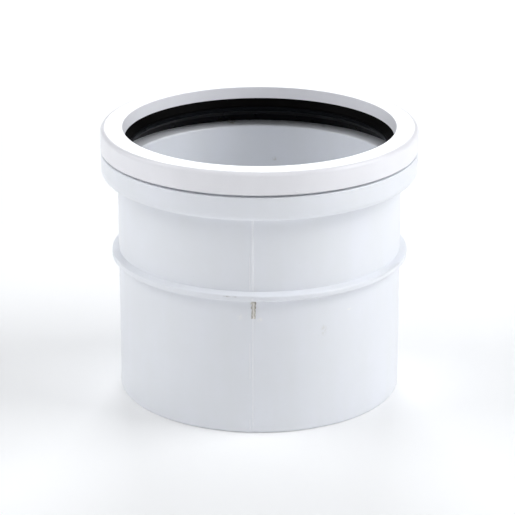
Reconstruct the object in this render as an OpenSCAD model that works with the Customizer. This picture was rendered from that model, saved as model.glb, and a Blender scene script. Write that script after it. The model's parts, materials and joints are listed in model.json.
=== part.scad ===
// Push-fit coupling for soil and waste pipe.
// The lower end is a plain socket, the upper end is a ring-seal socket. Between them are a centre stop
// inside and a bead outside. A rubber ring sits in a chamber at the top, under a snap-fit retaining cap.
// Frame: +Z is the pipe's axis, the origin is the centre of the lower end, and -Y is the front.

/* [Pipe] */
// Outside diameter of the pipe that both sockets take
pipe_d = 110; // [75:1:160]
// Wall thickness of that pipe
pipe_wall = 3.2; // [2:0.1:5]

/* [Plain socket] */
// Wall thickness of the barrel
wall = 3.4; // [2.6:0.1:5]
// Depth of the plain socket, from its mouth to the centre stop
plain_depth = 57.7; // [35:0.1:80]
// Radial gap between the pipe and the plain socket
plain_gap = 0.2; // [0.1:0.05:0.4]
// Rounding of the barrel's outside edge at its foot
foot_round = 1.3; // [0.5:0.1:1.5]
// Chamfer inside the plain socket's mouth
foot_chamfer = 0.8; // [0.4:0.1:1]

/* [Centre stop and bead] */
// Height of the stop ring inside, and of the bead outside
stop_h = 3.4; // [3:0.1:6]
// How far the bead stands out from the barrel
bead_out = 2.8; // [1.5:0.1:4]
// Slope of the bead's top face, in degrees
bead_slope = 20; // [10:1:30]

/* [Ring-seal socket] */
// Length from the stop's top to the ledge that the seal sits on
ring_socket_len = 34.5; // [20:0.1:60]
// Radial gap between the pipe and the ring-seal socket
ring_gap = 0.4; // [0.2:0.05:0.8]
// Rounding of the ledge's inner edge, which leads the pipe in
lead_round = 0.8; // [0.4:0.1:2]
// How much the ledge rises from the bore to the chamber's wall
ledge_rise = 0.9; // [0:0.1:1.5]
// Radial depth of the seal chamber
chamber_depth = 6.2; // [5:0.1:8]
// Height of the seal chamber
chamber_h = 12.3; // [11.5:0.1:16]
// Wall thickness of the neck that the cap snaps onto
neck_wall = 1.8; // [1.4:0.1:2.4]
// How far the snap barb stands out from the neck
barb_out = 0.4; // [0.2:0.05:0.6]

/* [Collar] */
// Thickness of the collar's floor, under the ledge
collar_floor = 3.3; // [2.5:0.1:4]
// Height of the collar's outside wall
collar_h = 10.1; // [8:0.1:10.5]
// How far the collar stays inside the cap's outside radius
collar_inset = 0.2; // [0:0.05:0.5]
// Rounding of the collar's lower edge
collar_round = 3; // [1:0.1:3.5]

/* [Retaining cap] */
// Thickness of the cap's flange, over the seal
flange_t = 4.8; // [3.5:0.1:7]
// Thickness of the cap's skirt at its lip
skirt_t = 1.4; // [1.2:0.1:2]
// Gap left between the cap's lip and the collar
cap_gap = 1; // [0.6:0.1:1.5]
// Rounding of the cap's top edge
cap_round = 2; // [0.8:0.1:2.5]
// How much the cap's mouth widens from its underside to its top, on the radius
mouth_taper = 0.7; // [0.2:0.1:1]

/* [Seal] */
// Radius of the lip's rounded nose
lip_round = 1.1; // [0.8:0.1:1.4]
// Height of the lip's nose above the ledge
lip_z = 7.9; // [6:0.1:8.5]
// Width of the seal's foot on the ledge
seal_foot = 1; // [0.6:0.1:2.5]

/* [Moulding marks] */
// Angle of the mould's parting line round the barrel, from the front
seam_angle = -2.6; // [-90:0.1:90]
// Width of the parting line
seam_w = 0.5; // [0.3:0.1:0.8]
// How far the parting line stands out
seam_out = 0.12; // [0.05:0.01:0.2]
// Height of the trimmed gate under the bead
gate_h = 6; // [3:0.5:10]
// Angle of the cap's gate pip, from the front
pip_angle = 13; // [-90:1:90]

/* [Hidden] */
$fn = 180;
over = 1;               // how far a cut runs past the surface that it cuts
snap_gap = 0.3;         // clearance between the snap barb and the cap's lip
seal_gap = 0.1;         // clearance between the seal and the chamber's wall
seal_top_gap = 0.3;     // clearance between the seal and the cap
pressed_gap = 0.2;      // from a pipe of nominal size to the lip that it has pressed open
stop_step = 0.4;        // how far the centre stop stays behind the pipe's bore
mouth_gap = 0.2;        // how far the cap's mouth stays behind the socket's bore
edge_round = 0.4;       // rounding of small edges
bead_round = 0.6;       // rounding of the bead's nose
barb_h = 1.4;
barb_drop = 1.3;        // from the top of the neck to the top of the barb
lip_h = 1.5;            // height of the skirt's lip, below its snap groove
groove_depth = 0.4;
lip_top_slope = 15;     // slopes of the seal's lip over and under its nose, in degrees
lip_under_slope = 30;
gate_w = 1.4;
gate_out = 0.3;
pip_size = 0.9;
pip_out = 0.25;

// Radii
plain_r = pipe_d / 2 + plain_gap;
ring_r = pipe_d / 2 + ring_gap;
stop_r = pipe_d / 2 - pipe_wall + stop_step;
barrel_r = plain_r + wall;
bead_r = barrel_r + bead_out;
chamber_r = ring_r + chamber_depth;
neck_r = chamber_r + neck_wall;
barb_r = neck_r + barb_out;
lip_r = barb_r + snap_gap;
groove_r = lip_r + groove_depth;
cap_r = lip_r + skirt_t;
mouth_r = ring_r + mouth_gap;
mouth_top_r = mouth_r + mouth_taper;
collar_r = cap_r - collar_inset;
pressed_r = pipe_d / 2 + pressed_gap;
seal_back_r = chamber_r - seal_gap;
ledge_r = ring_r + lead_round;

// Heights
stop_top = plain_depth + stop_h;
ledge_z = stop_top + ring_socket_len;
neck_top = ledge_z + chamber_h;
collar_z = ledge_z - collar_floor;
collar_top = collar_z + collar_h;
cap_z = collar_top + cap_gap;
cap_top = neck_top + flange_t;
seal_top = neck_top - seal_top_gap;

// Height of the sloping ledge at radius r
function ledge_at(r) = ledge_z + ledge_rise * (r - ledge_r) / (chamber_r - ledge_r);

// A rectangle of a round part's half section, from radius r0 to r1 and height z0 to z1
module band(r0, r1, z0, z1) {
    translate([r0, z0]) square([r1 - r0, z1 - z0]);
}

// What rounding the corner at (r, z) takes away. out and up are 1 or -1: the way the corner points.
module corner_waste(r, z, s, out, up) {
    difference() {
        translate([out > 0 ? r - s : r - over, up > 0 ? z - s : z - over]) square(s + over);
        translate([r - out * s, z - up * s]) circle(s);
    }
}

// What rounding the inside corner at (r, z) adds. out and up are 1 or -1: the way the corner opens.
module fillet(r, z, s, out, up) {
    difference() {
        translate([out > 0 ? r - edge_round : r - s, up > 0 ? z - edge_round : z - s]) square(s + edge_round);
        translate([r + out * s, z + up * s]) circle(s);
    }
}

// The bead: a sloping top face, a rounded nose and a flat underside
module bead_section() {
    nose = [bead_r - bead_round, plain_depth + stop_h - bead_round - (bead_out - bead_round) * tan(bead_slope)];
    rim = nose + bead_round * [sin(bead_slope), cos(bead_slope)];
    root_r = barrel_r - over;
    polygon([
        [root_r, plain_depth], [nose[0], plain_depth], nose, rim,
        [root_r, rim[1] + (rim[0] - root_r) * tan(bead_slope)]
    ]);
    translate(nose) circle(bead_round);
    translate([nose[0], plain_depth + bead_round]) circle(bead_round);
    band(nose[0], bead_r, plain_depth + bead_round, nose[1]);
}

// The snap barb: it slopes outwards and down, to a square shoulder
module barb_section() {
    top = neck_top - barb_drop;
    polygon([[neck_r - edge_round, top], [neck_r, top], [barb_r, top - barb_h], [neck_r - edge_round, top - barb_h]]);
}

module body_outside_section() {
    band(0, barrel_r, 0, ledge_z);
    band(0, collar_r, collar_z, collar_top);
    band(0, neck_r, collar_top - over, neck_top);
    fillet(barrel_r, collar_z, edge_round, 1, -1);
    bead_section();
    barb_section();
}

module body_bore_section() {
    band(-over, stop_r, -over, ledge_z + over);
    band(-over, plain_r, -over, plain_depth);
    band(-over, ring_r, stop_top, ledge_z + over);
    polygon([
        [-over, ledge_z], [ledge_r, ledge_z], [chamber_r, ledge_at(chamber_r)], [chamber_r, neck_top + over],
        [-over, neck_top + over]
    ]);
    corner_waste(ring_r, ledge_z, lead_round, -1, 1);
    polygon([
        [plain_r - over, -over], [plain_r + foot_chamfer + over, -over], [plain_r - over, foot_chamfer + over]
    ]);
}

// A raised strip on a wall of radius r, at an angle from the front, w wide and standing out by out_by
module strip(angle, w, z0, z1, r, out_by) {
    rotate([0, 0, angle]) intersection() {
        rotate_extrude() band(r - edge_round, r + out_by, z0, z1);
        translate([-w / 2, -r - over, z0 - over]) cube([w, r + over, z1 - z0 + 2 * over]);
    }
}

module coupling_body() {
    color([0.93, 0.945, 0.97]) {
        rotate_extrude() difference() {
            body_outside_section();
            body_bore_section();
            corner_waste(barrel_r, 0, foot_round, 1, -1);
            corner_waste(collar_r, collar_z, collar_round, 1, -1);
            corner_waste(collar_r, collar_top, edge_round, 1, 1);
        }
        for (side = [0, 180]) {
            strip(seam_angle + side, seam_w, foot_round, plain_depth, barrel_r, seam_out);
            strip(seam_angle + side, seam_w, stop_top, collar_z, barrel_r, seam_out);
        }
        strip(seam_angle, gate_w, plain_depth - gate_h, plain_depth, barrel_r, gate_out);
    }
}

// The ring seal, with its lip pressed open as far as a pipe opens it
module seal_ring() {
    nose = [pressed_r + lip_round, ledge_z + lip_z];
    foot_r = seal_back_r - seal_foot;
    color([0.07, 0.07, 0.075]) rotate_extrude() {
        polygon([
            [seal_back_r, ledge_at(seal_back_r)], [seal_back_r, seal_top], [mouth_r + edge_round, seal_top],
            nose + lip_round * [-cos(lip_top_slope), sin(lip_top_slope)], nose,
            nose + lip_round * [-cos(lip_under_slope), -sin(lip_under_slope)],
            [foot_r, ledge_at(foot_r)]
        ]);
        translate(nose) circle(lip_round);
    }
}

module retaining_cap() {
    color([0.955, 0.955, 0.96]) {
        rotate_extrude() difference() {
            band(mouth_r - over, cap_r, cap_z, cap_top);
            polygon([
                [0, neck_top], [mouth_r, neck_top], [mouth_top_r, cap_top - edge_round],
                [mouth_top_r, cap_top + over], [0, cap_top + over]
            ]);
            band(0, groove_r, cap_z + lip_h, neck_top);
            band(0, lip_r, cap_z - over, neck_top);
            corner_waste(cap_r, cap_top, cap_round, 1, 1);
            corner_waste(mouth_top_r, cap_top, edge_round, -1, 1);
            corner_waste(cap_r, cap_z, edge_round, 1, -1);
        }
        strip(pip_angle, pip_size, cap_z + edge_round, cap_z + edge_round + pip_size, cap_r, pip_out);
    }
}

coupling_body();
seal_ring();
retaining_cap();
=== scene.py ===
"""Looks for the push-fit coupling: white plastic round a black rubber ring seal, on a pale studio floor."""
import bpy
import json
import math
from mathutils import Matrix, Vector, noise


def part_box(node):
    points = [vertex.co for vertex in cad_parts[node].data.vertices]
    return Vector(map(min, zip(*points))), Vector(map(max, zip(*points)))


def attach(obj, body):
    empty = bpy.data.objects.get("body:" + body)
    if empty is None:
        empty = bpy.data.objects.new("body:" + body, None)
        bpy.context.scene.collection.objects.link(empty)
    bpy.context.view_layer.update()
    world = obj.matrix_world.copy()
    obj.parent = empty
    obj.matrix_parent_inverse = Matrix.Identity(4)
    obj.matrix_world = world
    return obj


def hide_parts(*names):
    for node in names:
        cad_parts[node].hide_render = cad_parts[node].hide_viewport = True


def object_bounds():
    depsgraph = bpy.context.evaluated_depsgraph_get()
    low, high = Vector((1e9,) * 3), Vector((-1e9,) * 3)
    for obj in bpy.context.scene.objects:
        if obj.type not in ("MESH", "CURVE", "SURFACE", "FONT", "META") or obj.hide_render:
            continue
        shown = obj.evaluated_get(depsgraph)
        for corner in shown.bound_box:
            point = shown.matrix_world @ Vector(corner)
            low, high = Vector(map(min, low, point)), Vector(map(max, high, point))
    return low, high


MM = 0.001
BARREL_WALL = 3.4 * MM
BEAD_OUT = 2.8 * MM         # how far the bead stands out from the barrel
BEAD_FOOT = 57.7 * MM       # height of the bead's underside
SEAM_ANGLE = -2.6           # of the mould's parting line, in degrees from the front
GATE_ANGLE = -2.35          # of the gate scar's middle, likewise
GATE_FOOT = 49.6 * MM       # heights of the gate scar's two ends
GATE_TOP = 57.4 * MM
UPVC_IOR = 1.53
COUPLING_MIDDLE = Vector((0, 0, 0.06))

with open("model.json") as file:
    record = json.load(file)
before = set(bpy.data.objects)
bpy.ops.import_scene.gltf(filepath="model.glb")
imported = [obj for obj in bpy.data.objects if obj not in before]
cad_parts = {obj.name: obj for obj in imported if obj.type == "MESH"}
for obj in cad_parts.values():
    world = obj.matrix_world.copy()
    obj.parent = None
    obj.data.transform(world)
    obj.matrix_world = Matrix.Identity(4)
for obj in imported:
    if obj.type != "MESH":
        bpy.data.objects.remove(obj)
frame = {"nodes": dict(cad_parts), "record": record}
cad_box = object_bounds()
nodes = frame["nodes"]
mounts = {m["name"]: m for m in frame["record"]["mounts"]}
barrel_r = mounts["solvent_socket"]["dims"]["r_mm"] * MM + BARREL_WALL
bead_r = barrel_r + BEAD_OUT


# ---------------------------------------------------------------- camera, floor and light

def add_camera():
    """A long lens in front of the coupling, looking down at its axis, as a catalogue picture is taken."""
    elevation = math.radians(19.7)
    distance = 1.0766
    aim_height = 0.4843     # of the coupling's own height
    low, high = cad_box[0].z, cad_box[1].z
    target = Vector((0, 0, low + aim_height * (high - low)))
    data = bpy.data.cameras.new("camera")
    data.sensor_width = 36
    data.lens = 179.7
    data.shift_x = -0.0038  # the coupling stands a little off the picture's middle
    data.clip_start = 0.05
    camera = bpy.data.objects.new("camera", data)
    back = Vector((0, -math.cos(elevation), math.sin(elevation)))
    camera.location = target + distance * back
    camera.rotation_euler = back.to_track_quat("Z", "Y").to_euler()
    bpy.context.scene.collection.objects.link(camera)
    bpy.context.scene.camera = camera


def add_softbox(name, place, side, power):
    """A soft square lamp at place, turned to the middle of the coupling."""
    data = bpy.data.lights.new(name, "AREA")
    data.energy = power
    data.color = (0.965, 0.98, 1.0)
    data.shape = "SQUARE"
    data.size = side
    softbox = bpy.data.objects.new(name, data)
    softbox.location = place
    softbox.rotation_euler = (Vector(place) - COUPLING_MIDDLE).to_track_quat("Z", "Y").to_euler()
    bpy.context.scene.collection.objects.link(softbox)


def add_lights():
    """Softboxes on four sides, the strongest on the right."""
    add_softbox("softbox_right", (1.0, -0.1, 0.9), 0.9, 11.8)
    add_softbox("softbox_left", (-1.0, 0, 0.9), 0.9, 8.3)
    add_softbox("softbox_over_camera", (0, -0.95, 1.25), 0.9, 4.6)
    add_softbox("softbox_behind", (0, 1.2, 0.8), 0.5, 7.8)


def add_world():
    """A dim room with a pale band round the horizon, which carries the floor on in low views."""
    world = bpy.data.worlds.new("studio")
    bpy.context.scene.world = world
    world.use_nodes = True
    tree = world.node_tree
    split = tree.nodes.new("ShaderNodeSeparateXYZ")
    tree.links.new(tree.nodes.new("ShaderNodeTexCoord").outputs["Generated"], split.inputs["Vector"])
    upwards = remap(tree, split.outputs["Z"], 0.05, 0.11)
    colour = mix_colour(tree, upwards, (0.88, 0.9, 0.93), (0.02, 0.02, 0.022))
    tree.links.new(colour, tree.nodes["Background"].inputs["Color"])


def add_floor():
    """A white table whose own glow, painted light, rises away from the coupling, so that it meets the pale
    band at the horizon.
    """
    bpy.ops.mesh.primitive_plane_add(size=4, location=(0, 0, cad_box[0].z))
    floor = bpy.context.object
    floor.name = "floor"
    material, tree, shader = new_material("floor_white", Roughness=0.9, Base_Color=(0.9, 0.9, 0.9, 1),
                                          Emission_Color=(1, 1, 1, 1))
    away = tree.nodes.new("ShaderNodeVectorMath")
    away.operation = "LENGTH"
    tree.links.new(object_place(tree), away.inputs[0])
    glow = remap(tree, away.outputs["Value"], 0.6, 1.7, 0.1, 0.75)
    tree.links.new(glow, shader.inputs["Emission Strength"])
    floor.data.materials.append(material)


# ---------------------------------------------------------------- node helpers

def new_material(name, **sockets):
    """A Principled material. sockets are the shader inputs that are the same all over the surface."""
    material = bpy.data.materials.new(name)
    material.use_nodes = True
    shader = material.node_tree.nodes["Principled BSDF"]
    for key, value in sockets.items():
        shader.inputs[key.replace("_", " ")].default_value = value
    return material, material.node_tree, shader


def connect(tree, value, socket):
    """Puts a number, a colour or another node's output into socket."""
    if isinstance(value, bpy.types.NodeSocket):
        tree.links.new(value, socket)
    elif socket.type == "RGBA":
        socket.default_value = (*value, 1)
    else:
        socket.default_value = value


def object_place(tree, stretch=(1, 1, 1)):
    """The point on the object, in metres, with each axis scaled by stretch."""
    mapping = tree.nodes.new("ShaderNodeMapping")
    mapping.inputs["Scale"].default_value = stretch
    tree.links.new(tree.nodes.new("ShaderNodeTexCoord").outputs["Object"], mapping.inputs["Vector"])
    return mapping.outputs["Vector"]


def noise_at(tree, place, scale, detail=2.0):
    node = tree.nodes.new("ShaderNodeTexNoise")
    node.inputs["Scale"].default_value = scale
    node.inputs["Detail"].default_value = detail
    tree.links.new(place, node.inputs["Vector"])
    return node.outputs["Fac"]


def remap(tree, value, from_min, from_max, to_min=0.0, to_max=1.0):
    node = tree.nodes.new("ShaderNodeMapRange")
    limits = {"From Min": from_min, "From Max": from_max, "To Min": to_min, "To Max": to_max}
    for key, number in limits.items():
        node.inputs[key].default_value = number
    tree.links.new(value, node.inputs["Value"])
    return node.outputs["Result"]


def maths(tree, operation, *values):
    node = tree.nodes.new("ShaderNodeMath")
    node.operation = operation
    for value, socket in zip(values, node.inputs):
        connect(tree, value, socket)
    return node.outputs["Value"]


def mix_colour(tree, factor, a, b):
    node = tree.nodes.new("ShaderNodeMix")
    node.data_type = "RGBA"
    by_name = {(s.name, s.type): s for s in node.inputs}
    connect(tree, factor, by_name["Factor", "VALUE"])
    connect(tree, a, by_name["A", "RGBA"])
    connect(tree, b, by_name["B", "RGBA"])
    return next(s for s in node.outputs if s.type == "RGBA")


def add_bump(tree, shader, height, strength, distance):
    node = tree.nodes.new("ShaderNodeBump")
    node.inputs["Strength"].default_value = strength
    node.inputs["Distance"].default_value = distance
    tree.links.new(height, node.inputs["Height"])
    tree.links.new(node.outputs["Normal"], shader.inputs["Normal"])


def near(tree, centre, reach, flatness):
    """1 at centre, falling to 0 at reach from it, or at reach / flatness above and below it."""
    node = tree.nodes.new("ShaderNodeVectorMath")
    node.operation = "DISTANCE"
    tree.links.new(object_place(tree, (1, 1, flatness)), node.inputs[0])
    node.inputs[1].default_value = (centre[0], centre[1], centre[2] * flatness)
    return remap(tree, node.outputs["Value"], 0, reach, 1, 0)


def on_wall(radius, angle, z):
    """The point at an angle in degrees from the front, on a round wall."""
    turn = math.radians(angle)
    return Vector((radius * math.sin(turn), -radius * math.cos(turn), z))


# ---------------------------------------------------------------- materials

def plastic(name, base, shade, roughness, scuffs=()):
    """Moulded uPVC: flow streaks and a soft mottle in the colour, dust, an uneven gloss and fine scratches.

    scuffs are handling marks, as (centre, reach, flatness, colour).
    """
    material, tree, shader = new_material(name, IOR=UPVC_IOR)
    place = object_place(tree)
    streaks = noise_at(tree, object_place(tree, (1, 1, 0.12)), 110, 5)
    mottle = noise_at(tree, place, 55, 3)
    flow = remap(tree, maths(tree, "MULTIPLY", streaks, mottle), 0.14, 0.38)
    colour = mix_colour(tree, flow, shade, base)
    dust = remap(tree, noise_at(tree, place, 1500, 1), 0.74, 0.8, 0, 0.35)
    colour = mix_colour(tree, dust, colour, [0.82 * c for c in base])
    for centre, reach, flatness, tint in scuffs:
        patchy = remap(tree, noise_at(tree, place, 900, 3), 0.38, 0.62)
        mask = maths(tree, "MULTIPLY", near(tree, centre, reach, flatness), patchy)
        colour = mix_colour(tree, mask, colour, tint)
    tree.links.new(colour, shader.inputs["Base Color"])

    handled = remap(tree, mottle, 0.3, 0.7, roughness - 0.05, roughness + 0.06)
    flat_noise = noise_at(tree, object_place(tree, (1, 1, 14)), 160, 2)
    scratches = remap(tree, flat_noise, 0.66, 0.72, 0, 0.1)
    tree.links.new(maths(tree, "ADD", handled, scratches), shader.inputs["Roughness"])
    grain = noise_at(tree, place, 1400, 2)
    add_bump(tree, shader, maths(tree, "MULTIPLY_ADD", streaks, 6, grain), 0.12, 0.04 * MM)
    return material


def rubber(name, crease_z):
    """Moulded rubber: dusty and dull above the lip's crease, at height crease_z, and glossier below it,
    where its colour is lighter and bluer: a painted reflection of the pale mouth.
    """
    material, tree, shader = new_material(name, IOR=1.45, Specular_IOR_Level=0.03)
    place = object_place(tree)
    split = tree.nodes.new("ShaderNodeSeparateXYZ")
    tree.links.new(place, split.inputs["Vector"])
    above = remap(tree, split.outputs["Z"], crease_z - 0.3 * MM, crease_z + 0.3 * MM)
    patches = noise_at(tree, place, 170, 6)
    bloom = maths(tree, "MULTIPLY", remap(tree, patches, 0.35, 0.75), above)
    # below the crease a lighter, bluer colour: a painted reflection of the pale mouth on the lip's shaded
    # lower face
    rubber_and_painted_reflection = mix_colour(tree, above, (0.004, 0.0045, 0.0056), (0.0007, 0.0006, 0.0006))
    tree.links.new(mix_colour(tree, bloom, rubber_and_painted_reflection, (0.0022, 0.0019, 0.0018)), shader.inputs["Base Color"])
    gloss = remap(tree, patches, 0.3, 0.7, 0.26, 0.36)
    tree.links.new(maths(tree, "MULTIPLY_ADD", above, 0.2, gloss), shader.inputs["Roughness"])
    add_bump(tree, shader, noise_at(tree, place, 2200, 2), 0.3, 0.03 * MM)
    return material


def torn_plastic(name):
    """Plastic where the gate was twisted off: off-white on its ridge, darker and browner along its flanks,
    and darker at its top just under the bead, a painted shadow.
    """
    material, tree, shader = new_material(name, IOR=UPVC_IOR, Roughness=0.6)
    split = tree.nodes.new("ShaderNodeSeparateXYZ")
    tree.links.new(object_place(tree), split.inputs["Vector"])
    sway = noise_at(tree, object_place(tree, (0, 0, 1)), 500, 1)
    ridge_x = on_wall(barrel_r, GATE_ANGLE, 0).x
    middle = maths(tree, "MULTIPLY_ADD", sway, 0.7 * MM, ridge_x - 0.35 * MM)
    aside = maths(tree, "ABSOLUTE", maths(tree, "SUBTRACT", split.outputs["X"], middle))
    flank = remap(tree, aside, 0.2 * MM, 0.5 * MM)
    # the top of the scar, just under the bead: darkened as a painted shadow
    root = remap(tree, split.outputs["Z"], GATE_TOP - 1.2 * MM, GATE_TOP - 0.5 * MM)
    patchy = remap(tree, noise_at(tree, object_place(tree, (1, 1, 0.35)), 1300, 4), 0.35, 0.6, 0.25, 1)
    darker_flanks_and_painted_shadow = maths(tree, "MULTIPLY", maths(tree, "MAXIMUM", flank, root), patchy)
    colour = mix_colour(tree, darker_flanks_and_painted_shadow, (0.86, 0.84, 0.79), (0.36, 0.32, 0.27))
    tree.links.new(colour, shader.inputs["Base Color"])
    add_bump(tree, shader, noise_at(tree, object_place(tree), 3000, 3), 0.5, 0.08 * MM)
    return material


# ---------------------------------------------------------------- shapes

def rounded(corners, steps=6):
    """A closed outline through corners (r, z, radius), each one rounded by an arc of its radius."""
    points = []
    for i, (r, z, radius) in enumerate(corners):
        here = Vector((r, z))
        to_last = (Vector(corners[i - 1][:2]) - here).normalized()
        to_next = (Vector(corners[(i + 1) % len(corners)][:2]) - here).normalized()
        half = to_last.angle(to_next) / 2
        reach = radius / math.tan(half)
        centre = here + (to_last + to_next).normalized() * (radius / math.sin(half))
        start = here + to_last * reach - centre
        end = here + to_next * reach - centre
        turn = start.angle_signed(end)
        for k in range(steps + 1):
            points.append(centre + Matrix.Rotation(-turn * k / steps, 2) @ start)
    return points


def revolve(outline, segments):
    """Vertices and faces of a closed ring: outline (r, z) turned about the Z axis."""
    n = len(outline)
    vertices, faces = [], []
    for s in range(segments):
        a = 2 * math.pi * s / segments
        vertices += [(p[0] * math.cos(a), p[0] * math.sin(a), p[1]) for p in outline]
        after = (s + 1) % segments
        for i in range(n):
            j = (i + 1) % n
            faces.append((s * n + i, after * n + i, after * n + j, s * n + j))
    return vertices, faces


def new_piece(name, vertices, faces, material, body, slot):
    mesh = bpy.data.meshes.new(name)
    mesh.from_pydata(vertices, [], faces)
    mesh.shade_smooth()
    mesh.materials.append(material)
    piece = bpy.data.objects.new(name, mesh)
    bpy.context.scene.collection.objects.link(piece)
    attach(piece, body)
    return piece


def add_seal():
    """The ring seal at rest, before a pipe presses its lip back: foot on the ledge, head under the cap."""
    low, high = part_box("seal_ring")
    ledge, top, back = low.z, high.z, high.x
    lip_r = 52.8 * MM
    crease_z = ledge + 8.3 * MM
    corners = [
        (back, ledge + 0.25 * MM, 0.3 * MM), (back, top + 0.2 * MM, 0.5 * MM),
        (56.1 * MM, top + 0.2 * MM, 0.5 * MM),
        (53.3 * MM, crease_z + 0.5 * MM, 0.5 * MM), (53.5 * MM, crease_z, 0.1 * MM),
        (lip_r, crease_z - 0.35 * MM, 0.2 * MM), (lip_r, crease_z - 1.7 * MM, 0.6 * MM),
        (57.4 * MM, ledge + 3.8 * MM, 3 * MM), (61.2 * MM, ledge + 0.1 * MM, 0.05 * MM)
    ]
    vertices, faces = revolve(rounded(corners), 256)
    seal = new_piece("ring_seal", vertices, faces, rubber("seal_rubber", crease_z), "coupling", "seal")
    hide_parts("seal_ring")


def relief(wall_r, angle, z0, z1, width, out, rows, columns):
    """Vertices and faces of a closed sliver that stands on a round wall, at an angle from the front.

    It is width(t) across and out(u, t) high, where t runs up it from 0 to 1 and u across it from -1 to 1.
    """
    root = -0.1 * MM        # its underside lies inside the wall
    top, under = [], []
    for i in range(rows + 1):
        t = i / rows
        for j in range(columns + 1):
            u = 2 * j / columns - 1
            turn = angle + math.degrees(width(t) / 2 * u / wall_r)
            top.append(on_wall(wall_r + out(u, t), turn, z0 + (z1 - z0) * t))
            under.append(on_wall(wall_r + root, turn, z0 + (z1 - z0) * t))
    across, n = columns + 1, len(top)
    faces = []
    for i in range(rows):
        for j in range(columns):
            a = i * across + j
            faces.append((a, a + 1, a + across + 1, a + across))
            faces.append((n + a + across, n + a + across + 1, n + a + 1, n + a))
    rim = list(range(columns)) + [i * across + columns for i in range(rows)]
    rim += [rows * across + j for j in range(columns, 0, -1)] + [i * across for i in range(rows, 0, -1)]
    for a, b in zip(rim, rim[1:] + rim[:1]):
        faces.append((b, a, n + a, n + b))
    return top + under, faces


def merge(*shapes):
    """One list of vertices and one of faces, from several."""
    vertices, faces = [], []
    for shape_vertices, shape_faces in shapes:
        faces += [tuple(len(vertices) + i for i in face) for face in shape_faces]
        vertices += shape_vertices
    return vertices, faces


def add_gate_scar():
    """The vestige of the gate under the bead: a narrow torn ridge that tapers downwards."""
    def width(t):
        return (1.5 + 0.6 * t + 0.55 * noise.noise(Vector((0, 9 * t, 5)))) * MM

    def out(u, t):
        ragged = noise.noise(Vector((3.1 * u, 14 * t, 0.7)))
        ends = min(1, 8 * t, 10 * (1 - t) + 0.3)
        return (0.06 + 0.5 * math.sqrt(1 - u * u) * ends * (1 + 0.9 * ragged)) * MM

    vertices, faces = relief(barrel_r, GATE_ANGLE, GATE_FOOT, GATE_TOP, width, out, 44, 14)
    new_piece("gate_scar", vertices, faces, torn_plastic("torn_white"), "coupling", "body")


def add_parting_lines():
    """The thin ridges that the mould's two halves leave on the barrel and the bead, front and back,
    coloured lighter than the body: a painted highlight for the light they catch.
    """
    def strip(wall_r, angle, z0, z1, across, high):
        def width(t):
            return across * (1 + 0.15 * noise.noise(Vector((angle, 30 * t, 2))))

        def out(u, t):
            ends = min(1, 20 * t + 0.1, 20 * (1 - t) + 0.1)
            return high * ends * math.sqrt(1 - u * u) * (1 + 0.3 * noise.noise(Vector((angle, 40 * t, 9))))

        return relief(wall_r, angle, z0, z1, width, out, 60, 6)

    foot, bead_top, collar = 1.4 * MM, 61.0 * MM, 92.0 * MM
    strips = []
    for angle in (SEAM_ANGLE, SEAM_ANGLE + 180):
        strips.append(strip(barrel_r, angle, foot, BEAD_FOOT - 0.2 * MM, 0.6 * MM, 0.15 * MM))
        strips.append(strip(barrel_r, angle, bead_top, collar, 0.9 * MM, 0.24 * MM))
        strips.append(strip(bead_r, angle, BEAD_FOOT + 0.7 * MM, BEAD_FOOT + 1.5 * MM, 0.8 * MM, 0.12 * MM))
    beside = SEAM_ANGLE - 1.15      # a fainter second line, broken into three
    for z0, z1 in ((bead_top + 0.3 * MM, 76 * MM), (24 * MM, 39 * MM), (foot, 6 * MM)):
        strips.append(strip(barrel_r, beside, z0, z1, 0.4 * MM, 0.08 * MM))
    # lighter than the body: a painted highlight along the ridges
    material = plastic("flash_painted_highlight", (0.945, 0.955, 0.99), (0.93, 0.94, 0.975), 0.36)
    new_piece("parting_lines", *merge(*strips), material, "coupling", "body")


def handling_marks():
    """Scuffs on the bead, flecks and a smudge on the barrel, and specks of dirt in the mouth."""
    grey, drab, pale, olive = (0.52, 0.52, 0.51), (0.74, 0.74, 0.72), (0.97, 0.97, 0.96), (0.5, 0.48, 0.4)
    bore_r, ledge_r = 55.4 * MM, 59.5 * MM
    return [
        (on_wall(bead_r, -12.2, 59.7 * MM), 1.9 * MM, 5, grey),
        (on_wall(bead_r, -9.3, 59.7 * MM), 1.4 * MM, 4, grey),
        (on_wall(barrel_r, -7.6, 50.2 * MM), 1.8 * MM, 1, pale),
        (on_wall(barrel_r, 0.2, 49.1 * MM), 1.5 * MM, 1, pale),
        (on_wall(barrel_r, 38, 49.1 * MM), 1.6 * MM, 3, pale),
        (on_wall(barrel_r, 26.2, 42.5 * MM), 1.7 * MM, 0.6, drab),
        (on_wall(bore_r, 173.2, 80.7 * MM), 1.2 * MM, 1, olive),
        (on_wall(ledge_r, 191.4, 95.9 * MM), 3 * MM, 1, olive)
    ]


def dress(node, material):
    """Gives a CAD node its material."""
    nodes[node].data.materials.clear()
    nodes[node].data.materials.append(material)


def main():
    bpy.context.scene.view_settings.view_transform = "Standard"
    add_camera()
    add_lights()
    add_world()
    add_floor()
    body_white = plastic("body_white", (0.884, 0.902, 0.95), (0.866, 0.885, 0.917), 0.36, handling_marks())
    dress("coupling_body", body_white)
    dress("retaining_cap", plastic("cap_white", (0.93, 0.925, 0.955), (0.905, 0.9, 0.93), 0.34))
    add_seal()
    add_gate_scar()
    add_parting_lines()


main()
